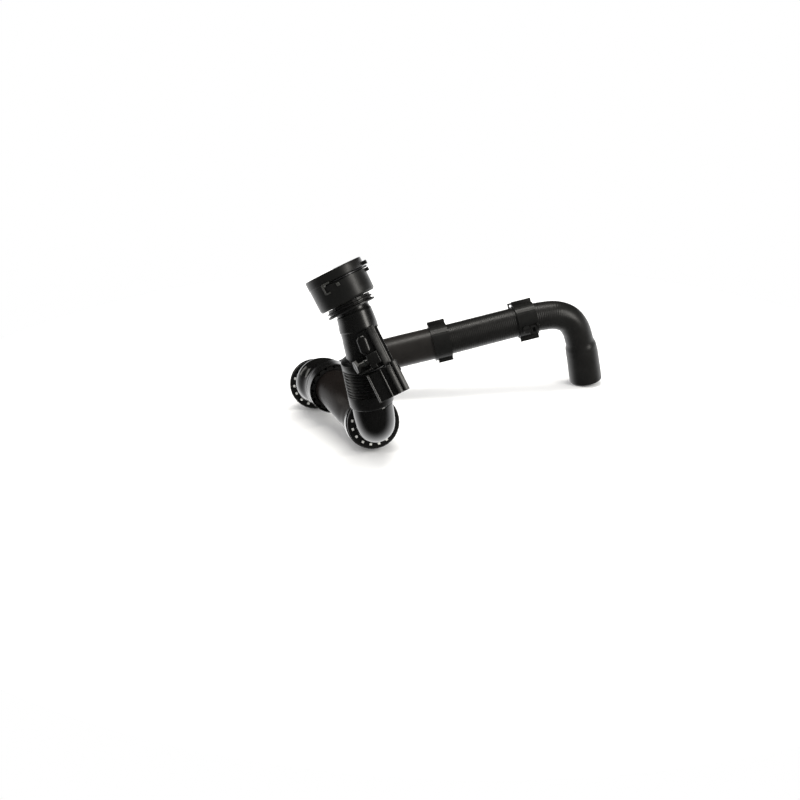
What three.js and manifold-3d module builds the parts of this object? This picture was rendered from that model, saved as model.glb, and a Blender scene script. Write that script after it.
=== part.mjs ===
// Coolant hose assembly: a quick connector on a bent neck, a ribbed bellows hose, a U-shaped
// moulded run with two windowed coupling rings, and a long outlet hose ending in a plain cuff.
// Millimetres, +Z up, standing on z = 0 on the two bells and the lip of the cuff.
import * as THREE from 'three';
import { mergeVertices } from 'three/addons/utils/BufferGeometryUtils.js';
import { ConvexGeometry } from 'three/addons/geometries/ConvexGeometry.js';
import Module from 'manifold-3d';

const wasm = await Module();
wasm.setup();

// ---- driving dimensions ----
const SIDES = 20;                 // facets round a tube
const CLEAR = 0.4;                // gap between fitted pieces
const SHIFT = new THREE.Vector3(-82.76, -75.84, 3.24);   // puts the middle of the footprint at 0
const LEAN = -0.0186;             // tips the assembly until both bells and the cuff touch the ground

const RING_R = 26.6;              // coupling ring, outside
const RING_BORE = 18.5;
const RING_LENGTH = 5;            // front face to back of skirt
const RING_PLATE = 2.8;           // thickness of the windowed plate
const WINDOWS = 16;
const WINDOW_PITCH = 2 * Math.PI / WINDOWS;
const FINGERS = 7;
const FIRST_FINGER = 7;
const WINDOW_R = 21.9;            // pitch radius of the windows
const BELL_R = 27.4;              // moulded bell behind each coupling ring
const BELL_LENGTH = 12;
const REAR_BELL_LENGTH = 5;
const BELL_BORE = 18.8;

const ELBOW_R = 20;               // lower elbow above its bend
const ELBOW_FOOT_R = 17.9;        // lower elbow and left sleeve where they leave the rings
const ELBOW_BORE = 14;
const SPIGOT_R = 16.4;            // elbow and sleeve spigots inside the bells
const CROWN_R = 18.6;             // elbow spigot inside the bellows

const TUBE_R = 20.4;              // diagonal tube at its thin end
const TUBE_BORE = 14.5;
const CUP_R = 26.8;               // notched cup of the left sleeve
const CUP_LENGTH = 18;
const CUP_SEAT_R = 25;            // recess that holds the notched ring
const CUP_BORE = 22.7;

const BELLOWS_R = 22;
const BELLOWS_RIBS = 8;
const BELLOWS_PITCH = 3.3;
const NECK_BORE = 11.5;
const NECK_SPIGOT_R = 14.5;
const COLLAR_R = 18.7;            // neck collar under the dust collar

const SOCKET_R = 29;              // quick connector socket
const SOCKET_BORE = 24.4;
const SOCKET_TOP = 40;            // rim above the dust collar
const SOCKET_FLOOR = 7;
const WIRE_R = 0.9;
const WIRE_Z = 29.6;              // height of the wire clip's groove

const PIPE_R = 17.8;              // long pipe
const PIPE_LENGTH = 79.5;
const HOSE_R = 16.8;              // outlet hose between the clips
const BEND_R = 16;                // outlet hose in its bend
const CUFF_R = 18.5;
const PIPE_BORE = 14.5;
const HOSE_BORE = 13.2;
const CUFF_BORE = 15;

// ---- route points ----
const v = (x, y, z) => new THREE.Vector3(x, y, z);
const RING_A = v(0, 0, 27.5);
const FACE_A = v(0.22, -0.96, 0.17).normalize();
const RING_B = v(-67, 115, 27.5);
const FACE_B = v(-0.08, -0.985, 0.12).normalize();
const CUP = v(-42.7, 75, 37.4);
const FACE_C = v(0.36, -0.93, 0.03).normalize();
const SLEEVE_SHOULDER = v(-58, 97, 38.5);   // the sleeve is fullest here
const BELLOWS_FOOT = v(-1, -23, 58.2);
const BELLOWS_MOUTH = v(-9.3, -27, 104.6);
const FLANGE = v(-19.9, -20, 152.5);
const CONNECTOR_AXIS = v(-0.4446, 0.2167, 0.869).normalize();
const RAIL_AXIS = v(-0.4453, 0.3017, 0.843).normalize();   // the rail leans back a little more
const BELLOWS_AXIS = BELLOWS_MOUTH.clone().sub(BELLOWS_FOOT).normalize();
const ACROSS = v(1, 0, 0);

const step = (from, axis, distance) => from.clone().addScaledVector(axis, distance);

const ELBOW_ROUTE = new THREE.CatmullRomCurve3([
  step(RING_A, FACE_A, -12), step(RING_A, FACE_A, -5), step(RING_A, FACE_A, 2),
  v(1.9, -13, 33), v(1.6, -20, 40.5), v(0.4, -22.6, 49), BELLOWS_FOOT,
  step(BELLOWS_FOOT, BELLOWS_AXIS, 6), step(BELLOWS_FOOT, BELLOWS_AXIS, 12),
], false, 'centripetal');
const TUBE_ROUTE = new THREE.CatmullRomCurve3([
  step(CUP, FACE_C, -12), step(CUP, FACE_C, -4), step(CUP, FACE_C, 3),
  v(-28.5, 50.5, 34.6), v(-14, 30, 29.5), step(RING_A, FACE_A, -19),
  step(RING_A, FACE_A, -12), step(RING_A, FACE_A, -5.4),
], false, 'centripetal');
const NECK_ROUTE = new THREE.CatmullRomCurve3([
  step(BELLOWS_MOUTH, BELLOWS_AXIS, -14), step(BELLOWS_MOUTH, BELLOWS_AXIS, -6), BELLOWS_MOUTH,
  v(-10.8, -27, 119.4), v(-13.2, -24.7, 134.2), step(FLANGE, CONNECTOR_AXIS, -5),
  step(FLANGE, CONNECTOR_AXIS, 3), step(FLANGE, CONNECTOR_AXIS, 11),
], false, 'centripetal');
const REAR_ROUTE = new THREE.CatmullRomCurve3([
  step(RING_B, FACE_B, -5.4), step(RING_B, FACE_B, -12), step(RING_B, FACE_B, -19),
  v(-62, 143, 23), v(-53, 150.5, 20.6), v(-39, 155, 23.6), v(-22, 157.6, 31.8), v(-3.4, 159.5, 41.8),
  v(8.5, 161, 46.4), v(30.8, 164, 51.6), v(50.9, 167, 55.7), v(71, 169.9, 59.8),
], false, 'centripetal');
const HOSE_ROUTE = new THREE.CatmullRomCurve3([
  v(71.7, 170, 60), v(86.9, 172.2, 63.4), v(107, 175, 67.9), v(127.2, 178, 72.4), v(147.5, 181, 76.9),
  v(166.7, 184, 81), v(183.8, 187, 84.2), v(202.1, 190, 84.8), v(216.3, 193, 79.3), v(225.3, 195.5, 68.2),
  v(230.9, 198, 53.1), v(234.9, 200, 38.1), v(238.4, 201.8, 20), v(241.4, 203, 3.93),
], false, 'centripetal');

const CLIP_1 = { at: v(71.2, 169.9, 59.9), along: v(0.968, 0.14, 0.207), bore: 18.5, half: 9.5 };
const CLIP_2 = { at: v(166.7, 184, 81), along: v(0.966, 0.15, 0.205), bore: 17.3, half: 11 };

// ---- materials ----
const plastic = (color, roughness) => new THREE.MeshStandardMaterial({ color, roughness, metalness: 0 });
const MATTE_BLACK = plastic(0x1d1d1c, 0.55);
const GLOSS_BLACK = plastic(0x0d0d0d, 0.2);
const RUBBER = plastic(0x222120, 0.75);
const PIPE_RUBBER = plastic(0x2a2625, 0.55);
const SEAL_RUBBER = plastic(0x15201c, 0.6);
const PALE_PLASTIC = plastic(0xd8d8d2, 0.5);
const WIRE_STEEL = new THREE.MeshStandardMaterial({ color: 0x55565a, roughness: 0.4, metalness: 0.9 });

// ---- solid tools ----
function toSolid(geometry) {
  const bare = geometry.clone();
  bare.deleteAttribute('normal');
  bare.deleteAttribute('uv');
  const merged = mergeVertices(bare, 1e-4);
  const place = merged.attributes.position.array;
  const triangles = [];
  let volume = 0;
  for (let i = 0; i < merged.index.count; i += 3) {
    const [a, b, c] = [0, 1, 2].map((k) => merged.index.getX(i + k));
    if (a === b || b === c || c === a) continue;
    triangles.push([a, b, c]);
    const [p, q, r] = [a, b, c].map((n) => v(place[3 * n], place[3 * n + 1], place[3 * n + 2]));
    volume += p.dot(q.cross(r));
  }
  const outward = volume > 0 ? triangles : triangles.map(([a, b, c]) => [a, c, b]);
  const triVerts = new Uint32Array(outward.flat());
  return new wasm.Manifold(new wasm.Mesh({ numProp: 3, vertProperties: new Float32Array(place), triVerts }));
}

function toGeometry(solid) {
  const mesh = solid.getMesh();
  const geometry = new THREE.BufferGeometry();
  geometry.setAttribute('position', new THREE.BufferAttribute(new Float32Array(mesh.vertProperties), 3));
  geometry.setIndex(new THREE.BufferAttribute(new Uint32Array(mesh.triVerts), 1));
  return geometry;
}

const join = (first, ...others) => others.reduce((sum, other) => sum.add(other), first);
const cut = (first, ...others) => others.reduce((rest, other) => rest.subtract(other), first);

// A solid of revolution about z; the profile is a loop of [radius, z], or starts and ends on the axis.
function turned(profile, sides = SIDES) {
  const points = profile.map(([r, z]) => new THREE.Vector2(r, z));
  const onAxis = profile[0][0] === 0;
  if (!onAxis) points.push(points[0].clone());
  return new THREE.LatheGeometry(points, sides).rotateX(Math.PI / 2);
}

const rod = (radius, low, high, sides = 20) => turned(
  [[0, low], [radius, low], [radius, high], [0, high]], sides);
const tubeRing = (outer, inner, low, high, sides) => turned(
  [[inner, low], [outer, low], [outer, high], [inner, high]], sides);

const box = (x0, x1, y0, y1, z0, z1) => new THREE.BoxGeometry(x1 - x0, y1 - y0, z1 - z0)
  .translate((x0 + x1) / 2, (y0 + y1) / 2, (z0 + z1) / 2);

const torus = (radius, thick, sides = 24) => new THREE.TorusGeometry(radius, thick, 5, sides);

// Bends a shape made along z onto a route, z = 0 at its start.
function alongRoute(geometry, route) {
  const count = 160;
  const length = route.getLength();
  const frames = route.computeFrenetFrames(count);
  const place = geometry.attributes.position;
  for (let i = 0; i < place.count; i += 1) {
    const part = THREE.MathUtils.clamp(place.getZ(i) / length, 0, 1);
    const low = Math.min(Math.floor(part * count), count - 1);
    const mix = part * count - low;
    const side = frames.normals[low].clone().lerp(frames.normals[low + 1], mix).normalize();
    const other = frames.binormals[low].clone().lerp(frames.binormals[low + 1], mix).normalize();
    const at = route.getPointAt(part);
    at.addScaledVector(side, place.getX(i)).addScaledVector(other, place.getY(i));
    place.setXYZ(i, at.x, at.y, at.z);
  }
  return geometry;
}

// Outer and inner wall of a tube: each a list of [distance along the route, radius].
function wallProfile(outer, inner, pitch = 7) {
  const fill = (list) => list.flatMap(([s, r], i) => {
    if (i === 0) return [[r, s]];
    const [s0, r0] = list[i - 1];
    const steps = Math.max(1, Math.round((s - s0) / pitch));
    return Array.from({ length: steps }, (_, k) => {
      const part = (k + 1) / steps;
      return [r0 + (r - r0) * part, s0 + (s - s0) * part];
    });
  });
  return [...fill(outer), ...fill(inner).reverse()];
}

function bentTube(route, outer, inner, pitch, sides) {
  return toSolid(alongRoute(turned(wallProfile(outer, inner, pitch), sides), route));
}

// A group whose z runs along an axis, and whose x is as near as it can be to a second direction.
function seat(at, axis, across) {
  const z = axis.clone().normalize();
  const x = across.clone().addScaledVector(z, -across.dot(z)).normalize();
  const y = z.clone().cross(x);
  const group = new THREE.Group();
  group.applyMatrix4(new THREE.Matrix4().makeBasis(x, y, z).setPosition(at));
  return group;
}

const placed = (geometry, group) => toSolid(geometry.clone().applyMatrix4(group.matrix));

function part(parent, name, shape, material) {
  const geometry = shape.isBufferGeometry ? toGeometry(toSolid(shape)) : toGeometry(shape);
  geometry.computeVertexNormals();
  const mesh = new THREE.Mesh(geometry, material);
  mesh.name = name;
  parent.add(mesh);
  return mesh;
}

const assembly = new THREE.Group();
assembly.position.copy(SHIFT);
assembly.rotation.x = LEAN;

const seatA = seat(RING_A, FACE_A, ACROSS);
const seatB = seat(RING_B, FACE_B, ACROSS);
const seatC = seat(CUP, FACE_C, ACROSS);
const connector = seat(FLANGE, CONNECTOR_AXIS, ACROSS);
const railSeat = seat(v(-19.9, -22.1, 153.3), RAIL_AXIS, ACROSS);
assembly.add(seatA, seatB, seatC, connector, railSeat);

// ---- couplings A and B: windowed ring, pale finger ring, O-ring ----
function couplingRing(turn) {
  const skirt = RING_R - 1.4;
  const ring = toSolid(turned([
    [RING_BORE, 0], [RING_BORE, -RING_PLATE], [skirt, -RING_PLATE], [skirt, -RING_LENGTH],
    [RING_R, -RING_LENGTH], [RING_R, -0.8], [RING_R - 0.8, 0],
  ], 32));
  const windows = Array.from({ length: WINDOWS }, (_, i) => toSolid(
    box(WINDOW_R - 1.5, WINDOW_R + 1.5, -1.7, 1.7, -4, 1).rotateZ(turn + i * WINDOW_PITCH)));
  return cut(ring, ...windows);
}

// Fingers stand in seven of the windows, on the side that faces left and down.
function fingerRing(turn) {
  const ring = toSolid(tubeRing(20.2, 18.8, -RING_LENGTH + 0.2, -RING_PLATE - 0.4, 24));
  const fingers = Array.from({ length: FINGERS }, (_, i) => toSolid(
    box(WINDOW_R - 1.1, WINDOW_R + 1.1, -1.3, 1.3, -RING_LENGTH + 0.6, -0.5)
      .rotateZ(turn + (FIRST_FINGER + i) * WINDOW_PITCH)));
  const arms = Array.from({ length: FINGERS }, (_, i) => toSolid(
    box(19.5, WINDOW_R + 1.1, -1.3, 1.3, -RING_LENGTH + 0.4, -RING_PLATE - 0.4)
      .rotateZ(turn + (FIRST_FINGER + i) * WINDOW_PITCH)));
  return join(ring, ...fingers, ...arms);
}

function coupling(group, letter, turn) {
  part(group, `coupling_ring_${letter}`, couplingRing(turn), MATTE_BLACK);
  part(group, `finger_ring_${letter}`, fingerRing(turn), PALE_PLASTIC);
  part(group, `coupling_seal_${letter}`, torus(17.6, 0.8).translate(0, 0, -9), SEAL_RUBBER);
}

// ---- lower elbow, diagonal tube, left sleeve, rear elbow ----
function lowerElbow() {
  const length = ELBOW_ROUTE.getLength();
  const outer = [
    [0, SPIGOT_R], [5.6, SPIGOT_R], [6.4, ELBOW_FOOT_R], [13, ELBOW_FOOT_R], [26, ELBOW_R - 0.5],
    [length - 12.8, ELBOW_R], [length - 12.7, CROWN_R], [length, CROWN_R - 0.4],
  ];
  return bentTube(ELBOW_ROUTE, outer, [[0, ELBOW_BORE], [length, ELBOW_BORE + 1]], 9);
}

function diagonalTube() {
  const length = TUBE_ROUTE.getLength();
  const bell = length - BELL_LENGTH;
  const outer = [
    [0, TUBE_R], [16, TUBE_R], [bell - 22, TUBE_R + 2.6], [bell - 6, BELL_R - 1.4], [bell, BELL_R],
    [length, BELL_R],
  ];
  const inner = [[0, TUBE_BORE], [length - 10.1, TUBE_BORE], [length - 10, BELL_BORE], [length, BELL_BORE]];
  return bentTube(TUBE_ROUTE, outer, inner, 13);
}

function circlePoints(at, axis, radius) {
  const group = seat(at, axis, ACROSS);
  return Array.from({ length: SIDES }, (_, i) => {
    const turn = i * 2 * Math.PI / SIDES;
    return v(radius * Math.cos(turn), radius * Math.sin(turn), 0).applyMatrix4(group.matrix);
  });
}

function leftSleeve() {
  const hull = (points) => toSolid(new ConvexGeometry(points));
  const cupBack = step(CUP, FACE_C, -CUP_LENGTH);
  const body = hull([
    ...circlePoints(step(RING_B, FACE_B, 0.6), FACE_B, ELBOW_FOOT_R),
    ...circlePoints(SLEEVE_SHOULDER, v(0.2, -0.97, 0.1), CUP_R - 1.5),
    ...circlePoints(cupBack, FACE_C, CUP_R), ...circlePoints(CUP, FACE_C, CUP_R),
  ]);
  const flow = hull([
    ...circlePoints(step(RING_B, FACE_B, 0), FACE_B, ELBOW_BORE),
    ...circlePoints(step(CUP, FACE_C, -13), FACE_C, ELBOW_BORE),
  ]);
  const spigot = placed(turned([[0, -12], [SPIGOT_R, -12], [SPIGOT_R, -6.4],
    [ELBOW_FOOT_R, -5.6], [ELBOW_FOOT_R, 1], [0, 1]]), seatB);
  return cut(
    join(body, spigot), flow,
    placed(rod(ELBOW_BORE, -13, 0.5, SIDES), seatB),
    placed(rod(CUP_BORE, -14, 1, SIDES), seatC),
    placed(rod(CUP_SEAT_R, -4.4, 1, 32), seatC),
  );
}

function notchedRing() {
  const ring = toSolid(tubeRing(CUP_SEAT_R - CLEAR, TUBE_R + 0.6, -4, -0.6, 32));
  const notches = Array.from({ length: WINDOWS }, (_, i) => toSolid(
    box(CUP_SEAT_R - 2.4, CUP_SEAT_R + 1, -1.3, 1.3, -5, 1).rotateZ(i * 2 * Math.PI / WINDOWS)));
  return cut(ring, ...notches);
}

// The long pipe takes the last stretch of the same route; the elbow ends in a spigot inside it.
function rearElbow() {
  const joint = REAR_ROUTE.getLength() - PIPE_LENGTH;
  const spigot = PIPE_BORE - CLEAR - 0.1;
  const outer = [
    [0, BELL_R], [REAR_BELL_LENGTH, BELL_R], [REAR_BELL_LENGTH + 3, BELL_R - 3.4],
    [REAR_BELL_LENGTH + 12, PIPE_R], [joint - 0.1, PIPE_R], [joint, spigot], [joint + 12, spigot],
  ];
  const inner = [[0, BELL_BORE], [9.3, BELL_BORE], [9.4, 12], [joint + 12, 12]];
  return bentTube(REAR_ROUTE, outer, inner, 10);
}

// ---- bellows and neck ----
const BELLOWS_ROUTE = new THREE.LineCurve3(BELLOWS_FOOT, BELLOWS_MOUTH);

function bellowsHose() {
  const length = BELLOWS_ROUTE.getLength();
  const first = 13.5;
  const ribs = Array.from({ length: BELLOWS_RIBS }, (_, i) => {
    const s = first + i * BELLOWS_PITCH;
    return [[s + BELLOWS_PITCH * 0.2, BELLOWS_R], [s + BELLOWS_PITCH * 0.7, BELLOWS_R - 1.6]];
  }).flat();
  const outer = [[0.4, BELLOWS_R - 0.4], [1.2, BELLOWS_R], ...ribs,
    [first + BELLOWS_RIBS * BELLOWS_PITCH, BELLOWS_R], [length - 1, BELLOWS_R], [length, BELLOWS_R - 0.8]];
  const inner = [[0.4, CROWN_R + CLEAR], [12.4, CROWN_R + CLEAR], [12.5, 17.2], [length - 15, 17.2],
    [length - 14.5, NECK_SPIGOT_R + CLEAR], [length, NECK_SPIGOT_R + CLEAR]];
  return bentTube(BELLOWS_ROUTE, outer, inner, 60);
}

const RAIL = { x: 7.8, y: -12.8, r: 3.9, top: -25, foot: -64.4, tail: -86 };
const SCREW = { at: v(-8.2, -18.6, -53.6), axis: v(-0.966, -0.259, 0), seatDepth: 9 };

function neckTube() {
  const length = NECK_ROUTE.getLength();
  const flange = length - 11;
  const outer = [
    [0, NECK_SPIGOT_R - 0.5], [2, NECK_SPIGOT_R], [15.4, NECK_SPIGOT_R], [16.2, NECK_SPIGOT_R + 1.5],
    [flange - 32, 17.2], [flange - 22, 17.9], [flange - 21.6, COLLAR_R], [flange - 5, 17.6],
    [flange - 4, 16.6], [length, 16.6],
  ];
  return bentTube(NECK_ROUTE, outer, [[0, NECK_BORE], [length, NECK_BORE]], 10);
}

// The half-round rail, its wing, the web that carries both, the raised pad and the screw boss.
function neckFittings() {
  const rail = rod(RAIL.r, RAIL.foot, RAIL.top, 16).translate(RAIL.x, RAIL.y, 0);
  const tail = rod(2.5, RAIL.tail, RAIL.foot + 1, 12).translate(RAIL.x, RAIL.y, 0);
  const wing = box(RAIL.x, 13.8, RAIL.y - 1, RAIL.y + 1.6, -63.6, -26);
  const web = box(-7, RAIL.x, RAIL.y - 1.9, RAIL.y + 2.3, -63, -26);
  const pad = new THREE.CapsuleGeometry(5.2, 9, 3, 10).rotateX(Math.PI / 2)
    .applyMatrix4(new THREE.Matrix4().makeScale(1, 0.6, 1)).rotateY(0.1).translate(-5.1, -13.4, -37.7);
  const boss = box(-8, 3, -22.2, RAIL.y, -59.4, -47.8);
  const ledge = box(-20.5, -7, -24.5, -15, -62, -60.7);
  const ledgeRoot = box(-8, -2, -22.2, RAIL.y, -62, -58);
  return [rail, tail, wing, web, pad, boss, ledge, ledgeRoot];
}

const screwSeat = new THREE.Group();
screwSeat.applyMatrix4(seat(SCREW.at, SCREW.axis, v(0, 0, 1)).matrix);
railSeat.add(screwSeat);

function neckPipe() {
  const bosses = neckFittings().map((shape) => placed(shape, railSeat));
  const screwFrame = new THREE.Group();
  screwFrame.matrix.multiplyMatrices(railSeat.matrix, seat(SCREW.at, SCREW.axis, v(0, 0, 1)).matrix);
  const nozzle = placed(rod(3.3, -2, 3.6, 16), screwFrame);
  const hole = placed(rod(2.2, -SCREW.seatDepth, 5, 16), screwFrame);
  return cut(join(neckTube(), ...bosses, nozzle), hole);
}

function bleedScrew() {
  const head = new THREE.CylinderGeometry(6.6, 6.6, 2.4, 6).rotateX(Math.PI / 2).translate(0, 0, 12.4);
  const flange = rod(5, 10.4, 11.6, 20);
  return cut(
    join(toSolid(head), toSolid(flange), toSolid(rod(2.9, 4.4, 11, 16)), toSolid(rod(1.8, -6, 5, 16))),
    toSolid(box(-7, 7, -0.7, 0.7, 12.6, 14)),
  );
}

// ---- bracket that slides on the rail ----
function ribbedBracket() {
  const low = -93.3;
  const high = -65;
  const face = -18;
  const ribs = [
    box(-15.2, -13.9, face - 1.8, -9, low, high), box(-2.6, -1.4, face - 1.8, -10, low, high),
    rod(3.5, low, high + 0.2, 16).translate(RAIL.x, face, 0),
    join(toSolid(rod(2.7, low, high, 12).translate(12.8, face, 0)),
      toSolid(new THREE.SphereGeometry(2.7, 12, 6).translate(12.8, face, high))),
    box(14, 16.4, -17, -12, -74, -68.5),
  ];
  const body = toSolid(box(-14.6, 15.3, face, -9, low, high));
  const pockets = [
    box(-12.4, -4, -16.2, -10.8, low - 1, high - 4),
    box(11.6, 13.8, -16.4, -10.8, low - 1, high - 4),
    box(-1, 3, -16.4, -10.8, low - 1, high - 4),
    rod(2.9, low - 1, high + 1, 16).translate(RAIL.x, RAIL.y, 0),
  ];
  const solids = ribs.map((rib) => (rib.isBufferGeometry ? toSolid(rib) : rib));
  return cut(join(body, ...solids), ...pockets.map(toSolid));
}

// ---- quick connector ----
function onWall(turn, radius, thick, width, low, high) {
  return toSolid(box(radius, radius + thick, -width / 2, width / 2, low, high).rotateZ(turn));
}

function connectorSocket() {
  const grooveLow = WIRE_Z - 1.35;
  const grooveHigh = WIRE_Z + 1.35;
  const body = toSolid(turned([
    [17.1, SOCKET_FLOOR], [27.2, SOCKET_FLOOR], [28.2, SOCKET_FLOOR + 2], [28.5, grooveLow],
    [28.6, grooveHigh], [SOCKET_R, grooveHigh + 0.4], [SOCKET_R, SOCKET_TOP - 0.5],
    [SOCKET_R - 0.5, SOCKET_TOP], [SOCKET_BORE + 1, SOCKET_TOP], [SOCKET_BORE, SOCKET_TOP - 1.4],
    [SOCKET_BORE, 19.4], [26, 19.4], [26, 15.6],
    [SOCKET_BORE, 15.6], [SOCKET_BORE, 11.5], [17.1, 11.5],
  ], 32));
  const groove = cut(toSolid(tubeRing(31, 26.7, grooveLow, grooveHigh, 32)),
    toSolid(box(-32, -13, -32, 32, grooveLow - 1, grooveHigh + 1)));
  const guards = [
    onWall(0, 27.5, 4.6, 9, grooveHigh + 0.2, 34), onWall(0, 27.5, 4, 7, 24.6, grooveLow - 0.2),
    ...[-0.19, 0.19].map((turn) => onWall(turn, 27.5, 5.6, 1.8, grooveHigh + 0.2, 34.8)),
  ];
  const hooks = [-1, 1].flatMap((side) => [
    onWall(side * 2.1, 27.8, 2, 1.6, 23.4, grooveLow + 0.5),
    onWall(side * 2.02, 28, 1.8, 6, 22.4, 24),
    onWall(side * 1.99, 28, 1.9, 7.5, grooveHigh - 0.1, grooveHigh + 1.3),
    onWall(side * 1.63, 28, 1.7, 3.2, 23.6, 26.8),
  ]);
  return join(cut(body, groove), ...guards, ...hooks);
}

function wireClip() {
  const span = 1.66;
  const count = 24;
  const points = Array.from({ length: count + 1 }, (_, i) => {
    const turn = -span + 2 * span * i / count;
    const bump = 2.2 * Math.exp(-((turn / 0.13) ** 2));
    return v((27.9 + bump) * Math.cos(turn), (27.9 + bump) * Math.sin(turn), WIRE_Z);
  });
  const outline = new THREE.Shape().absarc(0, 0, WIRE_R, 0, 2 * Math.PI);
  const path = new THREE.CatmullRomCurve3(points);
  return new THREE.ExtrudeGeometry(outline, { steps: 30, curveSegments: 3, extrudePath: path });
}

function dustCollar() {
  return turned([
    [17.2, -1.4], [23.2, -1.4], [24.3, -0.6], [24.3, 0.4], [21.6, 1.2], [21.4, 2.2], [23.3, 2.8], [23.3, 3.7],
    [21.6, 4.4], [21.4, 6.6], [17.2, 6.6],
  ], 28);
}

// ---- outlet limb ----
function longPipe() {
  const length = REAR_ROUTE.getLength();
  const low = length - PIPE_LENGTH + CLEAR;
  const outer = [[low, PIPE_R - 0.5], [low + 1.2, PIPE_R], [length, PIPE_R]];
  return bentTube(REAR_ROUTE, outer, [[low, PIPE_BORE], [length, PIPE_BORE]], 16);
}

function outletHose() {
  const length = HOSE_ROUTE.getLength();
  const cuff = length - 42;
  const outer = [[0, HOSE_R], [96, HOSE_R - 0.2], [116, BEND_R], [cuff - 8, BEND_R], [cuff, CUFF_R - 0.7],
    [cuff + 8, CUFF_R - 0.3], [length - 1, CUFF_R], [length, CUFF_R - 0.6]];
  const inner = [[0, HOSE_BORE], [cuff, HOSE_BORE], [cuff + 10, CUFF_BORE], [length, CUFF_BORE]];
  return bentTube(HOSE_ROUTE, outer, inner, 15);
}

function joiner() {
  const low = -15;
  const high = 15;
  return turned([
    [10.8, low], [12.6, low], [12.8, low + 4], [12.2, low + 4.2], [12.8, low + 8], [12.2, low + 8.2],
    [12.6, high - 8.2], [12.2, high - 8], [12.8, high - 4.2], [12.4, high], [10.8, high],
  ], 20);
}

// ---- hinged hose clips: local z along the hose, x up, y towards the near side ----
const KNUCKLE = { r: 2.1, pin: 0.95, bore: 1.3 };

function halfBand(clip, side) {
  const outer = clip.bore + 1.5;
  const open = 0.15;
  const shape = new THREE.Shape();
  shape.absarc(0, 0, outer, open, Math.PI - 0.02, false);
  shape.absarc(0, 0, clip.bore, Math.PI - 0.02, open, true);
  const options = { depth: 2 * clip.half, bevelEnabled: false, curveSegments: 11 };
  const band = new THREE.ExtrudeGeometry(shape, options).translate(0, 0, -clip.half);
  return side > 0 ? toSolid(band) : toSolid(band.applyMatrix4(new THREE.Matrix4().makeScale(1, -1, 1)));
}

function knuckle(clip, side, low, high) {
  const x = clip.bore + 3.6;
  const barrel = toSolid(rod(KNUCKLE.r, low, high, 14).translate(x, 0, 0));
  const leaf = toSolid(box(clip.bore + 0.35, x, side > 0 ? 0 : -3.4, side > 0 ? 3.4 : 0, low, high));
  const hole = toSolid(rod(KNUCKLE.bore, low - 1, high + 1, 12).translate(x, 0, 0));
  return cut(join(barrel, leaf), hole);
}

function ear(clip, side, low, high, drop) {
  const near = side * 0.3;
  const far = side * 3.8;
  const root = -clip.bore - 0.4;
  return toSolid(box(root - drop, root, Math.min(near, far), Math.max(near, far), low, high));
}

function pinOf(clip) {
  return rod(KNUCKLE.pin, -clip.half - 0.6, clip.half + 0.6, 12).translate(clip.bore + 3.6, 0, 0);
}

const CLIP_UP = v(0, 0.342, 0.94);

function clipOne() {
  const group = seat(CLIP_1.at, CLIP_1.along, CLIP_UP);
  const w = CLIP_1.half;
  part(group, 'clip_1_front_shell', join(halfBand(CLIP_1, 1), knuckle(CLIP_1, 1, -3, 3),
    ear(CLIP_1, 1, -6.5, w, 4.2)), MATTE_BLACK);
  part(group, 'clip_1_rear_shell', join(halfBand(CLIP_1, -1), knuckle(CLIP_1, -1, -w, -3.5),
    knuckle(CLIP_1, -1, 3.5, w), ear(CLIP_1, -1, -6.5, w, 4.2)), MATTE_BLACK);
  part(group, 'clip_1_hinge_pin', pinOf(CLIP_1), WIRE_STEEL);
  assembly.add(group);
}

function eyelet(x, y0, y1, z) {
  return {
    plate: toSolid(box(x - 3.4, x + 2.6, y0, y1, z - 2.8, z + 3)),
    hole: toSolid(rod(1.5, y0 - 1, y1 + 1, 12).rotateX(-Math.PI / 2).translate(x - 0.6, 0, z)),
  };
}

function clipTwo() {
  const group = seat(CLIP_2.at, CLIP_2.along, CLIP_UP);
  const w = CLIP_2.half;
  const top = eyelet(19.6, -4.2, -1.5, -w - 1.2);
  const foot = eyelet(-19.6, 0.4, 3.8, -w + 3.2);
  const studBoss = toSolid(rod(3, 12.6, 17.2, 16).rotateX(-Math.PI / 2).translate(-11.7, 0, -3.9));
  const studHole = toSolid(rod(1.9, 11, 22, 12).rotateX(-Math.PI / 2).translate(-11.7, 0, -3.9));
  const loop = cut(
    toSolid(box(-18, -8.4, 9, 18.4, 0.8, 7.2)), toSolid(box(-15.6, -10.8, 15.6, 21, 2.4, 5.6)));
  const lug = toSolid(box(-9.6, -6.6, 15, 19.4, 8, 10.8));
  const inside = toSolid(rod(CLIP_2.bore, -w - 5, w + 1, 28));
  const front = cut(
    join(halfBand(CLIP_2, 1), knuckle(CLIP_2, 1, -3, 3), ear(CLIP_2, 1, -w + 2, w - 0.6, 5.4),
      studBoss, loop, lug), inside, studHole);
  const rear = cut(
    join(halfBand(CLIP_2, -1), knuckle(CLIP_2, -1, -w, -3.5), knuckle(CLIP_2, -1, 3.5, w),
      ear(CLIP_2, -1, -w + 2, w - 0.6, 5.4), top.plate), inside, top.hole);
  part(group, 'clip_2_front_shell', join(front, cut(foot.plate, foot.hole, inside)), MATTE_BLACK);
  part(group, 'clip_2_rear_shell', rear, MATTE_BLACK);
  part(group, 'clip_2_hinge_pin', pinOf(CLIP_2), WIRE_STEEL);
  const knob = rod(4.3, 17.6, 20.2, 20).rotateX(-Math.PI / 2).translate(-11.7, 0, -3.9);
  const shank = rod(1.5, 14.8, 18, 12).rotateX(-Math.PI / 2).translate(-11.7, 0, -3.9);
  const slot = box(-12.3, -11.1, 19.4, 22, -9, 1);
  part(group, 'clip_2_stud', cut(join(toSolid(knob), toSolid(shank)), toSolid(slot)), MATTE_BLACK);
  assembly.add(group);
}

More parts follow.
